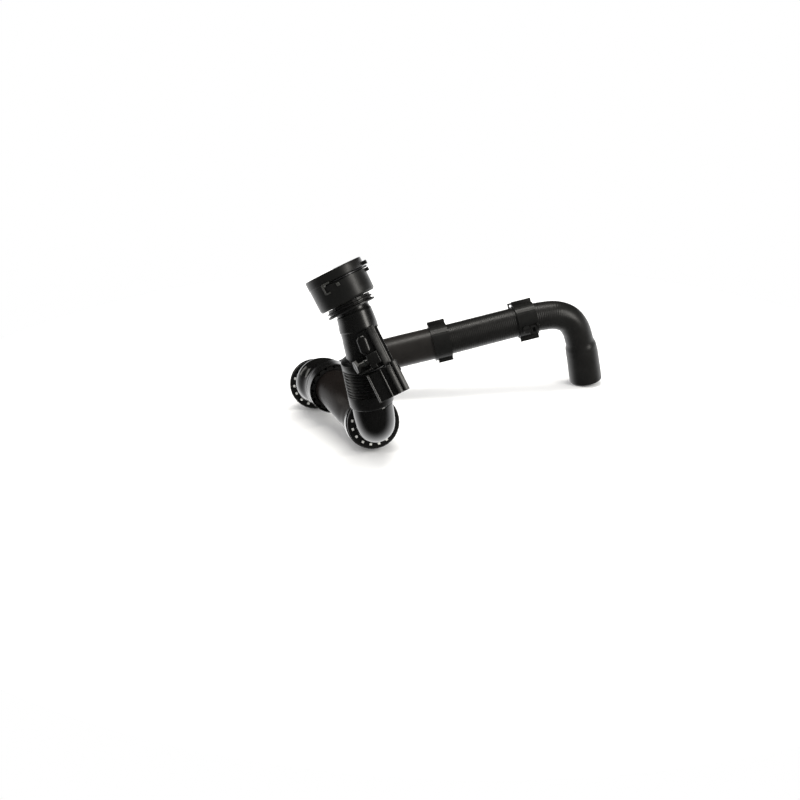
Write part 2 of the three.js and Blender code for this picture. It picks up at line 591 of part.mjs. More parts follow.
// ---- assembly ----
part(connector, 'connector_socket', connectorSocket(), MATTE_BLACK);
part(connector, 'wire_clip', wireClip(), WIRE_STEEL);
part(connector, 'connector_o_ring', torus(24, 1.6).translate(0, 0, 17.5), SEAL_RUBBER);
part(connector, 'support_ring', tubeRing(24, 22.6, 20.4, 23.2, 32), MATTE_BLACK);
part(connector, 'dust_collar', dustCollar(), RUBBER);
part(railSeat, 'ribbed_bracket', ribbedBracket(), MATTE_BLACK);
part(screwSeat, 'bleed_screw', bleedScrew(), MATTE_BLACK);
part(screwSeat, 'bleed_screw_o_ring', torus(2.5, 0.35, 14).translate(0, 0, 4), SEAL_RUBBER);
part(assembly, 'neck_pipe', neckPipe(), GLOSS_BLACK);
part(assembly, 'bellows_hose', bellowsHose(), RUBBER);
part(assembly, 'lower_elbow', lowerElbow(), GLOSS_BLACK);
coupling(seatA, 'a', 0.26);
part(assembly, 'diagonal_tube', diagonalTube(), MATTE_BLACK);
part(seatC, 'notched_ring', notchedRing(), MATTE_BLACK);
part(seatC, 'sleeve_seal', torus(21.55, 0.85).translate(0, 0, -8), SEAL_RUBBER);
part(assembly, 'left_sleeve', leftSleeve(), GLOSS_BLACK);
coupling(seatB, 'b', 0.08);
part(assembly, 'rear_elbow', rearElbow(), GLOSS_BLACK);
part(assembly, 'long_pipe', longPipe(), PIPE_RUBBER);
part(assembly, 'outlet_hose', outletHose(), RUBBER);
const joinerSeat = seat(CLIP_1.at, CLIP_1.along, CLIP_UP);
part(joinerSeat, 'hose_joiner', joiner(), MATTE_BLACK);
assembly.add(joinerSeat);
clipOne();
clipTwo();

const object = new THREE.Group();
object.add(assembly);
export default object;
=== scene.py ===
import math
import bmesh
import bpy
import numpy as np
from mathutils import Matrix, Vector


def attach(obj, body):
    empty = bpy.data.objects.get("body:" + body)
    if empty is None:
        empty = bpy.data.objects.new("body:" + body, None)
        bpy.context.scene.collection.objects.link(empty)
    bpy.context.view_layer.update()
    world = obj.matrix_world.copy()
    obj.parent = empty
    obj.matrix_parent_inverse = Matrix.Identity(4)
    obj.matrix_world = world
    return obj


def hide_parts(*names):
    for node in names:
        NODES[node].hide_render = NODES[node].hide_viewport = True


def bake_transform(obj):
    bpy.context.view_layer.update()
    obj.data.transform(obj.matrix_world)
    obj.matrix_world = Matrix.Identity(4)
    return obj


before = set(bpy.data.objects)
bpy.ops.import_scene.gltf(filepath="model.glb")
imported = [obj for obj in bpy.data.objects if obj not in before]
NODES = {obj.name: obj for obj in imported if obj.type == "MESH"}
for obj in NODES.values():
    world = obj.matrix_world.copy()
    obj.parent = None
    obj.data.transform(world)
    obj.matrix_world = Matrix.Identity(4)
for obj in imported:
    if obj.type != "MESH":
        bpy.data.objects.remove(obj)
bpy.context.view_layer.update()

# ---- the design frame of the assembly, in millimetres, and its place in the row frame ----
LEAN = -0.0186
SHIFT = Vector((-82.76, -75.84, 3.24))
TO_ROW = Matrix.Rotation(LEAN, 3, "X")
MM = 1000
SIDES = 96
HOSE_SIDES = 80


def V(x, y, z):
    return Vector((x, y, z))


def row(p):
    """A point of the design frame in the frame that everything is packed in, in metres."""
    return (TO_ROW @ p + SHIFT) / MM


RING_A, FACE_A = V(0, 0, 27.5), V(0.22, -0.96, 0.17).normalized()
RING_B, FACE_B = V(-67, 115, 27.5), V(-0.08, -0.985, 0.12).normalized()
CUP, FACE_C = V(-42.7, 75, 37.4), V(0.36, -0.93, 0.03).normalized()
FOOT, MOUTH = V(-1, -23, 58.2), V(-9.3, -27, 104.6)
BELLOWS_AXIS = (MOUTH - FOOT).normalized()
FLANGE, CONNECTOR_AXIS = V(-19.9, -20, 152.5), V(-0.4446, 0.2167, 0.869).normalized()
RAIL_AT, RAIL_AXIS = V(-19.9, -22.1, 153.3), V(-0.4453, 0.3017, 0.843).normalized()
ACROSS = V(1, 0, 0)

ELBOW_POINTS = [
    RING_A - 12 * FACE_A, RING_A - 5 * FACE_A, RING_A + 2 * FACE_A, V(1.9, -13, 33), V(1.6, -20, 40.5),
    V(0.4, -22.6, 49), FOOT, FOOT + 6 * BELLOWS_AXIS, FOOT + 12 * BELLOWS_AXIS]
TUBE_POINTS = [
    CUP - 12 * FACE_C, CUP - 4 * FACE_C, CUP + 3 * FACE_C, V(-28.5, 50.5, 34.6), V(-14, 30, 29.5),
    RING_A - 19 * FACE_A, RING_A - 12 * FACE_A, RING_A - 5.4 * FACE_A]
NECK_POINTS = [
    MOUTH - 14 * BELLOWS_AXIS, MOUTH - 6 * BELLOWS_AXIS, MOUTH, V(-10.8, -27, 119.4), V(-13.2, -24.7, 134.2),
    FLANGE - 5 * CONNECTOR_AXIS, FLANGE + 3 * CONNECTOR_AXIS, FLANGE + 11 * CONNECTOR_AXIS]
REAR_POINTS = [
    RING_B - 5.4 * FACE_B, RING_B - 12 * FACE_B, RING_B - 19 * FACE_B, V(-62, 143, 23), V(-53, 150.5, 20.6),
    V(-39, 155, 23.6), V(-22, 157.6, 31.8), V(-3.4, 159.5, 41.8), V(8.5, 161, 46.4), V(30.8, 164, 51.6),
    V(50.9, 167, 55.7), V(71, 169.9, 59.8)]
HOSE_POINTS = [
    V(71.7, 170, 60), V(86.9, 172.2, 63.4), V(107, 175, 67.9), V(127.2, 178, 72.4), V(147.5, 181, 76.9),
    V(166.7, 184, 81), V(183.8, 187, 84.2), V(202.1, 190, 84.8), V(216.3, 193, 79.3), V(225.3, 195.5, 68.2),
    V(230.9, 198, 53.1), V(234.9, 200, 38.1), V(238.4, 201.8, 20), V(241.4, 203, 3.93)]


# ---- camera, floor and light ----
def rotation_along(forward, up):
    """Turns -Z to face forward, as cameras and lights do, with Y as near to up as it can be."""
    back = -forward.normalized()
    right = up.cross(back).normalized()
    return Matrix((right, back.cross(right), back)).transposed().to_4x4()


WARM_WHITE = (1, 0.975, 0.92)
# What gloss sees of the world, over a direction's Y and Z: from low and high, to low and high.
GLOSS_BEHIND = (-0.3, 0.5, 0.0, 1.0)
GLOSS_LOW = (0.26, -0.05, 0.0, 1.7)
GLOSS_LEAST = 0.01

camera_data = bpy.data.cameras.new("camera")
camera_data.lens = 56.25
camera_data.sensor_width = 36
camera_data.clip_end = 50
camera = bpy.data.objects.new("camera", camera_data)
look, up = V(0, 0.9397, -0.3420), V(0, 0.3420, 0.9397)
camera.matrix_world = Matrix.Translation(row(V(26.3, -1167.3, 474.7) + 2.06 * up)) @ rotation_along(
    TO_ROW @ look, TO_ROW @ up)
bpy.context.scene.collection.objects.link(camera)
bpy.context.scene.camera = camera


def node(tree, kind, x, y, **values):
    """Adds a node; a value is a property of the node, or else the default of its socket of that name."""
    made = tree.nodes.new(kind)
    made.location = (x, y)
    for key, value in values.items():
        if hasattr(made, key):
            setattr(made, key, value)
        else:
            made.inputs[key.replace("_", " ")].default_value = value
    return made


def set_inputs(made, values):
    """Sets the sockets of a map range node that follow its value: from low and high, to low and high."""
    for k, value in enumerate(values):
        made.inputs[1 + k].default_value = value


def area_light(name, place, target, size, energy):
    data = bpy.data.lights.new(name, "AREA")
    data.shape = "RECTANGLE"
    data.size, data.size_y = size
    data.energy = energy
    data.color = WARM_WHITE
    light = bpy.data.objects.new(name, data)
    light.matrix_world = Matrix.Translation(Vector(place)) @ rotation_along(
        Vector(target) - Vector(place), Vector((0, 0.01, 1)))
    bpy.context.scene.collection.objects.link(light)


def make_floor(radius=0.62, centre_y=0.03, gap=0.0002):
    """A pale disc just under the object."""
    around = [math.tau * k / SIDES for k in range(SIDES)]
    mesh = bpy.data.meshes.new("floor")
    mesh.from_pydata([(radius * math.cos(t), radius * math.sin(t) + centre_y, 0) for t in around],
                     [], [tuple(range(SIDES))])
    floor = bpy.data.objects.new("floor", mesh)
    floor.location.z = -gap
    floor.visible_glossy = False
    bpy.context.scene.collection.objects.link(floor)
    material = bpy.data.materials.new("pale_floor")
    material.use_nodes = True
    shader = material.node_tree.nodes["Principled BSDF"]
    shader.inputs["Base Color"].default_value = (0.95, 0.95, 0.95, 1)
    shader.inputs["Roughness"].default_value = 0.8
    shader.inputs["Specular IOR Level"].default_value = 0.1
    mesh.materials.append(material)


def make_studio():
    """A white world. Gloss sees it dark in front and above, and white behind and low down."""
    world = bpy.data.worlds.new("studio")
    world.use_nodes = True
    tree = world.node_tree
    background = tree.nodes["Background"]
    coords = node(tree, "ShaderNodeTexCoord", -1000, 0)
    parts = node(tree, "ShaderNodeSeparateXYZ", -820, 0)
    tree.links.new(coords.outputs["Generated"], parts.inputs[0])
    spans = []
    for axis, y, limits in (("Y", 0, GLOSS_BEHIND), ("Z", -260, GLOSS_LOW)):
        span = node(tree, "ShaderNodeMapRange", -640, y, interpolation_type="SMOOTHSTEP")
        set_inputs(span, limits)
        tree.links.new(parts.outputs[axis], span.inputs[0])
        spans.append(span.outputs[0])
    seen = node(tree, "ShaderNodeMath", -440, -120, operation="MULTIPLY_ADD")
    tree.links.new(spans[0], seen.inputs[0])
    tree.links.new(spans[1], seen.inputs[1])
    seen.inputs[2].default_value = GLOSS_LEAST
    path = node(tree, "ShaderNodeLightPath", -640, 300)
    mix = node(tree, "ShaderNodeMix", -400, 100, data_type="FLOAT")
    mix.inputs["A"].default_value = 1.0
    tree.links.new(path.outputs["Is Glossy Ray"], mix.inputs["Factor"])
    tree.links.new(seen.outputs[0], mix.inputs["B"])
    tree.links.new(mix.outputs["Result"], background.inputs["Strength"])
    background.inputs["Color"].default_value = (1, 1, 1, 1)
    world.cycles.sampling_method = "NONE"
    bpy.context.scene.world = world
    bpy.context.scene.view_settings.view_transform = "Standard"
    area_light("left_softbox", (-2.2, 0.3, 0.9), (-0.05, 0, 0.06), (0.6, 1.2), 6)
    area_light("right_softbox", (1.9, -1.1, 1.2), (0.0, 0, 0.1), (0.72, 1.7), 34)
    area_light("top_softbox", (-0.1, 0.2, 2.1), (0, 0, 0.05), (1.7, 0.4), 26)


make_floor()
make_studio()


# ---- materials ----
def principled(name, color, roughness, **sockets):
    """A material whose further values are sockets of its shader, such as Specular_IOR_Level."""
    material = bpy.data.materials.new(name)
    material.use_nodes = True
    tree = material.node_tree
    shader = tree.nodes["Principled BSDF"]
    shader.inputs["Base Color"].default_value = (*color, 1)
    shader.inputs["Roughness"].default_value = roughness
    for key, value in sockets.items():
        shader.inputs[key.replace("_", " ")].default_value = value
    return material, tree, shader


def mottled(tree, shader, coords, color, spread, rough, rough_spread, scale, finer=3.1):
    """Colour and roughness that drift a little over the surface, the roughness in finer spots."""
    noise = node(tree, "ShaderNodeTexNoise", -700, 200, Scale=scale, Detail=4.0, Roughness=0.6)
    tree.links.new(coords, noise.inputs["Vector"])
    ramp = node(tree, "ShaderNodeValToRGB", -480, 240)
    low = [c * (1 - spread) for c in color]
    high = [c * (1 + spread) for c in color]
    ramp.color_ramp.elements[0].position, ramp.color_ramp.elements[0].color = 0.3, (*low, 1)
    ramp.color_ramp.elements[1].position, ramp.color_ramp.elements[1].color = 0.7, (*high, 1)
    tree.links.new(noise.outputs["Fac"], ramp.inputs["Fac"])
    tree.links.new(ramp.outputs["Color"], shader.inputs["Base Color"])
    wear = node(tree, "ShaderNodeTexNoise", -700, -40, Scale=scale * finer, Detail=5.0, Roughness=0.65)
    tree.links.new(coords, wear.inputs["Vector"])
    span = node(tree, "ShaderNodeMapRange", -480, -40)
    set_inputs(span, (0.3, 0.7, rough - rough_spread, rough + rough_spread))
    tree.links.new(wear.outputs["Fac"], span.inputs[0])
    tree.links.new(span.outputs[0], shader.inputs["Roughness"])


def moulded(name, color, roughness, grain, grain_scale=2600, spread=0.16, **sockets):
    """Moulded plastic, smooth rubber or drawn metal: faint mottling, and a fine grain, its depth in mm."""
    material, tree, shader = principled(name, color, roughness, **sockets)
    coords = node(tree, "ShaderNodeTexCoord", -950, 60)
    mottled(tree, shader, coords.outputs["Object"], color, spread, roughness, roughness * spread, 55)
    if grain == 0:
        return material
    grain_noise = node(tree, "ShaderNodeTexNoise", -480, -300, Scale=grain_scale, Detail=2.0)
    tree.links.new(coords.outputs["Object"], grain_noise.inputs["Vector"])
    bump = node(tree, "ShaderNodeBump", -240, -300, Strength=0.35, Distance=grain / MM)
    tree.links.new(grain_noise.outputs["Fac"], bump.inputs["Height"])
    tree.links.new(bump.outputs["Normal"], shader.inputs["Normal"])
    return material


def knitted(name, color, roughness, pitch, columns, depth, fading, **sockets):
    """Rubber hose with the mark of its fabric wrap: fine hoops crossed by a shallow weave.

    The UV map lays it: U is the turn and V the length in mm. Along V it fades, as fading says.
    """
    material, tree, shader = principled(name, color, roughness, **sockets)
    coords = node(tree, "ShaderNodeTexCoord", -1400, 60)
    mottled(tree, shader, coords.outputs["Object"], color, 0.2, roughness, 0.07, 42)
    uv = node(tree, "ShaderNodeSeparateXYZ", -1200, -300)
    tree.links.new(coords.outputs["UV"], uv.inputs[0])

    def wave(output, turns, y):
        scaled = node(tree, "ShaderNodeMath", -1000, y, operation="MULTIPLY")
        scaled.inputs[1].default_value = math.tau * turns
        tree.links.new(output, scaled.inputs[0])
        sine = node(tree, "ShaderNodeMath", -820, y, operation="SINE")
        tree.links.new(scaled.outputs[0], sine.inputs[0])
        return sine.outputs[0]

    hoop = wave(uv.outputs["Y"], 1 / pitch, -260)
    column = wave(uv.outputs["X"], columns, -440)
    cross = node(tree, "ShaderNodeMath", -640, -440, operation="MULTIPLY")
    tree.links.new(hoop, cross.inputs[0])
    tree.links.new(column, cross.inputs[1])
    soft = node(tree, "ShaderNodeMath", -460, -440, operation="MULTIPLY_ADD")
    soft.inputs[1].default_value = 0.18
    tree.links.new(cross.outputs[0], soft.inputs[0])
    tree.links.new(hoop, soft.inputs[2])
    fade = node(tree, "ShaderNodeMapRange", -460, -620, interpolation_type="SMOOTHSTEP")
    set_inputs(fade, fading)
    tree.links.new(uv.outputs["Y"], fade.inputs[0])
    height = node(tree, "ShaderNodeMath", -300, -520, operation="MULTIPLY")
    tree.links.new(soft.outputs[0], height.inputs[0])
    tree.links.new(fade.outputs[0], height.inputs[1])
    bump = node(tree, "ShaderNodeBump", -140, -300, Strength=0.9, Distance=depth / MM)
    tree.links.new(height.outputs[0], bump.inputs["Height"])
    tree.links.new(bump.outputs["Normal"], shader.inputs["Normal"])
    return material


SATIN = moulded("satin_black_plastic", (0.008, 0.008, 0.0076), 0.34, 0.012, Specular_IOR_Level=0.3)
EDGED = moulded("moulded_black_plastic", (0.005, 0.005, 0.0048), 0.27, 0, Specular_IOR_Level=0.5)
SMOOTH = moulded("glossy_black_plastic", (0.004, 0.004, 0.0038), 0.14, 0)
KNIT = knitted("knitted_hose_rubber", (0.009, 0.0088, 0.0083), 0.36, pitch=2.1, columns=70, depth=0.085,
               fading=(105, 150, 1.0, 0.12), Specular_IOR_Level=0.34)
BELLOWS = moulded("bellows_rubber", (0.004, 0.004, 0.0038), 0.3, 0.01)
COLLAR = moulded("collar_rubber", (0.006, 0.006, 0.006), 0.4, 0.015)
BROWNISH = moulded("smooth_pipe_rubber", (0.0155, 0.0138, 0.0126), 0.38, 0.015, Specular_IOR_Level=0.34)
TUBE = moulded("tube_plastic", (0.009, 0.0072, 0.0065), 0.3, 0.008, Specular_IOR_Level=0.12)
# A lighter copy of the black plastic: a painted highlight for the socket's hooks, whose tops would catch the
# light from above.
HOOK_PAINTED_HIGHLIGHT = moulded("black_plastic_painted_highlight", (0.034, 0.034, 0.031), 0.34, 0.012)
SEAL = moulded("seal_rubber", (0.012, 0.02, 0.017), 0.5, 0.02)
PALE = moulded("pale_finger_plastic", (0.72, 0.72, 0.68), 0.35, 0.02)
WIRE = moulded("spring_wire", (0.05, 0.05, 0.052), 0.3, 0.008, 3200, Metallic=0.85)
PIN = moulded("pin_steel", (0.2, 0.2, 0.205), 0.32, 0.008, 3200, Metallic=0.9)


# ---- shading of the CAD nodes: smooth, with small rounded edges ----
def smooth_group(sharpest=32):
    """Smooth shading, but not over edges that turn by more than this many degrees."""
    group = bpy.data.node_groups.new("smooth_by_angle", "GeometryNodeTree")
    group.interface.new_socket("Geometry", in_out="INPUT", socket_type="NodeSocketGeometry")
    group.interface.new_socket("Geometry", in_out="OUTPUT", socket_type="NodeSocketGeometry")
    start = group.nodes.new("NodeGroupInput")
    stop = group.nodes.new("NodeGroupOutput")
    faces = group.nodes.new("GeometryNodeSetShadeSmooth")
    faces.domain = "FACE"
    edges = group.nodes.new("GeometryNodeSetShadeSmooth")
    edges.domain = "EDGE"
    edges.inputs["Shade Smooth"].default_value = False
    angle = group.nodes.new("GeometryNodeInputMeshEdgeAngle")
    compare = group.nodes.new("FunctionNodeCompare")
    compare.operation = "GREATER_THAN"
    compare.inputs["B"].default_value = math.radians(sharpest)
    group.links.new(start.outputs[0], faces.inputs["Geometry"])
    group.links.new(faces.outputs[0], edges.inputs["Geometry"])
    group.links.new(angle.outputs["Unsigned Angle"], compare.inputs["A"])
    group.links.new(compare.outputs[0], edges.inputs["Selection"])
    group.links.new(edges.outputs[0], stop.inputs[0])
    return group


SMOOTH_GROUP = smooth_group()
CAD_LOOKS = {
    SATIN: ["connector_socket", "support_ring", "coupling_ring_a", "coupling_ring_b", "notched_ring",
            "hose_joiner", "clip_1_front_shell", "clip_1_rear_shell", "clip_2_front_shell",
            "clip_2_rear_shell", "clip_2_stud", "bleed_screw"],
    EDGED: ["ribbed_bracket"],
    SEAL: ["connector_o_ring", "bleed_screw_o_ring", "coupling_seal_a", "coupling_seal_b", "sleeve_seal"],
    PALE: ["finger_ring_a", "finger_ring_b"],
    WIRE: ["wire_clip"],
    PIN: ["clip_1_hinge_pin", "clip_2_hinge_pin"],
    SMOOTH: ["neck_pipe", "lower_elbow", "left_sleeve", "rear_elbow"],
    TUBE: ["diagonal_tube"],
    BROWNISH: ["long_pipe"],
    KNIT: ["outlet_hose"],
    BELLOWS: ["bellows_hose"],
    COLLAR: ["dust_collar"],
}
# The width of the rounded edges, in mm.
BEVELS = {"ribbed_bracket": 0.35, "bleed_screw": 0.25, "coupling_ring_a": 0.22, "coupling_ring_b": 0.22,
          "clip_1_front_shell": 0.25, "clip_1_rear_shell": 0.25, "clip_2_front_shell": 0.25,
          "clip_2_rear_shell": 0.25, "clip_2_stud": 0.25, "finger_ring_a": 0.2, "finger_ring_b": 0.2,
          "notched_ring": 0.15}


for material, names in CAD_LOOKS.items():
    for name in names:
        obj = NODES[name]
        obj.data.materials.clear()
        obj.data.materials.append(material)
        if name in BEVELS:
            bevel = obj.modifiers.new("rounded_edges", "BEVEL")
            bevel.width = BEVELS[name] / MM
            bevel.segments = 2
            bevel.limit_method = "ANGLE"
            bevel.angle_limit = math.radians(40)
        soften = obj.modifiers.new("smooth", "NODES")
        soften.node_group = SMOOTH_GROUP


# ---- fine pieces ----
def piece(name, material, vertices, faces, sharp, uvs=None):
    """A mesh object from points in metres, smooth but for edges sharper than this many degrees."""
    mesh = bpy.data.meshes.new(name)
    mesh.from_pydata([tuple(p) for p in vertices], [], faces)
    mesh.update()
    if uvs is not None:
        layer = mesh.uv_layers.new(name="UVMap")
        for loop, uv in zip(layer.data, uvs):
            loop.uv = uv
    work = bmesh.new()
    work.from_mesh(mesh)
    bmesh.ops.remove_doubles(work, verts=work.verts, dist=1e-7)
    bmesh.ops.recalc_face_normals(work, faces=work.faces)
    work.to_mesh(mesh)
    work.free()
    mesh.polygons.foreach_set("use_smooth", [True] * len(mesh.polygons))
    mesh.set_sharp_from_angle(angle=math.radians(sharp))
    mesh.materials.append(material)
    obj = bpy.data.objects.new(name, mesh)
    bpy.context.scene.collection.objects.link(obj)
    return obj


class Route:
    """A centripetal Catmull-Rom curve, sampled evenly by length, with a side that doesn't twist."""

    def __init__(self, points, steps=40, samples=600):
        pts = [2 * points[0] - points[1], *points, 2 * points[-1] - points[-2]]
        fine = []
        for p0, p1, p2, p3 in zip(pts, pts[1:], pts[2:], pts[3:]):
            t1 = (p1 - p0).length ** 0.5
            t2 = t1 + (p2 - p1).length ** 0.5
            t3 = t2 + (p3 - p2).length ** 0.5
            for k in range(steps):
                t = t1 + (t2 - t1) * k / steps
                a1 = p0 * ((t1 - t) / t1) + p1 * (t / t1)
                a2 = p1 * ((t2 - t) / (t2 - t1)) + p2 * ((t - t1) / (t2 - t1))
                a3 = p2 * ((t3 - t) / (t3 - t2)) + p3 * ((t - t2) / (t3 - t2))
                b1 = a1 * ((t2 - t) / t2) + a2 * (t / t2)
                b2 = a2 * ((t3 - t) / (t3 - t1)) + a3 * ((t - t1) / (t3 - t1))
                fine.append(b1 * ((t2 - t) / (t2 - t1)) + b2 * ((t - t1) / (t2 - t1)))
        fine.append(points[-1].copy())
        line = np.array([tuple(p) for p in fine])
        along = np.concatenate([[0], np.cumsum(np.linalg.norm(np.diff(line, axis=0), axis=1))])
        self.length = float(along[-1])
        self.s = np.linspace(0, self.length, samples)
        self.at = np.stack([np.interp(self.s, along, line[:, k]) for k in range(3)], 1)
        tangent = np.gradient(self.at, axis=0)
        self.tangent = tangent / np.linalg.norm(tangent, axis=1)[:, None]
        side = np.cross(self.tangent[0], (0.1, 0.9, 0.3))
        sides = []
        for t in self.tangent:
            side = side - t * side.dot(t)
            side = side / np.linalg.norm(side)
            sides.append(side)
        self.side = np.array(sides)

    def ring(self, s, radius, count):
        """Points around the route at length s."""
        k = min(max(s / self.length, 0), 1) * (len(self.s) - 1)
        i = min(int(k), len(self.s) - 2)
        mix = k - i
        blend = lambda rows: rows[i] * (1 - mix) + rows[i + 1] * mix
        at, side, tangent = blend(self.at), blend(self.side), blend(self.tangent)
        other = np.cross(tangent, side)
        turns = np.arange(count) * math.tau / count
        return at + radius * (np.cos(turns)[:, None] * side + np.sin(turns)[:, None] * other)


def quads(rows, count, closed=True):
    """Faces between rows of count points; where closed, the last row joins the first."""
    faces = []
    for i in range(rows if closed else rows - 1):
        j = (i + 1) % rows
        for k in range(count):
            n = (k + 1) % count
            faces.append((i * count + k, i * count + n, j * count + n, j * count + k))
    return faces


def skin(name, material, rings, lengths, sharp=34):
    """A closed wall over rings, with the last joined to the first. UV is (turn, length)."""
    count = len(rings[0])
    vertices = [row(Vector(p)) for ring in rings for p in ring]
    uvs = []
    for low, high in zip(lengths, lengths[1:] + lengths[:1]):
        for k in range(count):
            a, b = k / count, (k + 1) / count
            uvs += [(a, low), (b, low), (b, high), (a, high)]
    return piece(name, material, vertices, quads(len(rings), count), sharp, uvs)


def fill(points, pitch, long_step=4):
    """Adds points between a profile's corners, and eases the radius over its long steps."""
    out = [points[0]]
    for (s0, r0), (s1, r1) in zip(points, points[1:]):
        steps = max(1, round(abs(s1 - s0) / pitch))
        for k in range(1, steps + 1):
            t = k / steps
            ease = t * t * (3 - 2 * t) if abs(s1 - s0) > long_step else t
            out.append((s0 + (s1 - s0) * t, r0 + (r1 - r0) * ease))
    return out


def sweep(name, material, route, outer, inner, count, pitch=1.6):
    """A tube wall along a route, from outer and inner profiles of (length, radius)."""
    profile = fill(outer, pitch) + fill(inner, pitch * 3)[::-1]
    rings = [route.ring(s, r, count) for s, r in profile]
    return skin(name, material, rings, [s for s, _ in profile])


elbow_route, tube_route, neck_route = Route(ELBOW_POINTS), Route(TUBE_POINTS), Route(NECK_POINTS)
rear_route, hose_route, bellows_route = Route(REAR_POINTS), Route(HOSE_POINTS), Route([FOOT, MOUTH])


def make_tubes():
    """The lower elbow, the diagonal tube and its bell, the rear elbow, the pipe and the outlet hose."""
    length = elbow_route.length
    elbow = sweep("elbow_body", SMOOTH, elbow_route, [
        (0, 16.4), (5.6, 16.4), (6.2, 17.5), (6.6, 17.9), (13, 17.9), (26, 19.6), (length - 13.6, 19.98),
        (length - 13.0, 19.7), (length - 12.8, 18.6), (length, 18.2)], [(0, 14), (length, 15)], SIDES)
    length = tube_route.length
    bell = length - 12
    tube = sweep("tube_body", TUBE, tube_route, [
        (0, 20.4), (16, 20.4), (bell - 22, 23), (bell - 7, 25.6)], [(0, 14.5), (bell - 7, 14.5)], SIDES)
    flare = sweep("tube_bell", SMOOTH, tube_route, [
        (bell - 7, 25.6), (bell - 3, 26.8), (bell, 27.3), (bell + 1, 27.4), (length - 0.8, 27.4),
        (length, 26.8)],
        [(bell - 7, 14.5), (length - 10.1, 14.5), (length - 10, 18.8), (length, 18.8)], SIDES)
    length = rear_route.length
    joint = length - 79.5
    rear = sweep("rear_elbow_body", SMOOTH, rear_route, [
        (0, 26.8), (0.7, 27.4), (5, 27.4), (8, 24.0), (17, 17.8), (joint - 0.6, 17.8), (joint - 0.1, 17.4),
        (joint, 14), (joint + 12, 14)], [(0, 18.8), (9.3, 18.8), (9.4, 12), (joint + 12, 12)], HOSE_SIDES)
    pipe = sweep("pipe_body", BROWNISH, rear_route, [
        (joint + 0.4, 17.2), (joint + 0.8, 17.6), (joint + 1.6, 17.8), (length, 17.8)],
        [(joint + 0.4, 14.5), (length, 14.5)], HOSE_SIDES)
    length = hose_route.length
    cuff = length - 42
    hose = sweep("hose_body", KNIT, hose_route, [
        (0, 16.8), (96, 16.6), (116, 16), (cuff - 8, 16), (cuff, 17.8), (cuff + 8, 18.2),
        (length - 1.2, 18.5), (length - 0.5, 18.3), (length, 17.9)],
        [(0, 13.2), (cuff, 13.2), (cuff + 10, 15), (length - 0.6, 15), (length, 15.4)], HOSE_SIDES)
    for made, name in ((elbow, "lower_elbow"), (tube, "diagonal_tube"), (flare, "diagonal_tube"),
                       (rear, "rear_elbow"), (pipe, "long_pipe"), (hose, "outlet_hose")):
        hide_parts(name)
        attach(made, "run")


def make_bellows():
    """Even waves between two plain cuffs, set between the run and the neck."""
    length = bellows_route.length
    waves, pitch, first, middle, depth, steps = 8, 3.3, 13.6, 21.15, 0.8, 12
    outer = [(0.4, 21.2), (0.7, 21.8), (1.3, 22), (12.6, 22), (13.2, 21.6)]
    for i in range(waves):
        start = first + pitch * i
        for k in range(steps):
            turn = math.tau * (k + 0.5) / steps
            outer.append((start + pitch * (k + 0.5) / steps, middle - depth * math.cos(turn)))
    outer += [(40.3, 21.7), (41, 22), (length - 1.2, 22), (length - 0.4, 21.7), (length, 21.2)]
    inner = [(0.4, 19), (12.4, 19), (12.5, 17.2), (length - 15, 17.2), (length - 14.5, 14.9), (length, 14.9)]
    profile = outer + fill(inner, 3)[::-1]
    rings = [bellows_route.ring(s, r, SIDES) for s, r in profile]
    made = skin("bellows_body", BELLOWS, rings, [s for s, _ in profile], 50)
    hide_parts("bellows_hose")
    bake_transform(made)


def circle(at, axis, radius):
    side = (ACROSS - axis * ACROSS.dot(axis)).normalized()
    other = axis.cross(side)
    turns = [math.tau * k / SIDES for k in range(SIDES)]
    return [at + radius * (math.cos(q) * side + math.sin(q) * other) for q in turns]


def loft(keys, between):
    """Rings through keys of (centre, normal, radius), with a smooth curve between them."""
    centres = Route([k[0] for k in keys])
    spots = [float(np.argmin(np.linalg.norm(centres.at - np.array(k[0]), axis=1))) for k in keys]
    rings = []
    for (i, a), b in zip(enumerate(keys), keys[1:]):
        for step in range(between if i < len(keys) - 2 else between + 1):
            t = step / between
            at = np.interp(spots[i] + (spots[i + 1] - spots[i]) * t, np.arange(len(centres.s)), centres.s)
            centre = Vector([np.interp(at, centres.s, centres.at[:, k]) for k in range(3)])
            normal = (a[1] * (1 - t) + b[1] * t).normalized()
            before, after = keys[max(i - 1, 0)][2], keys[min(i + 2, len(keys) - 1)][2]
            r0, r1 = a[2], b[2]
            m0, m1 = (r1 - before) / 2, (after - r0) / 2
            radius = ((2 * t**3 - 3 * t**2 + 1) * r0 + (t**3 - 2 * t**2 + t) * m0
                      + (3 * t**2 - 2 * t**3) * r1 + (t**3 - t**2) * m1)
            rings.append(circle(centre, normal, radius))
    return rings


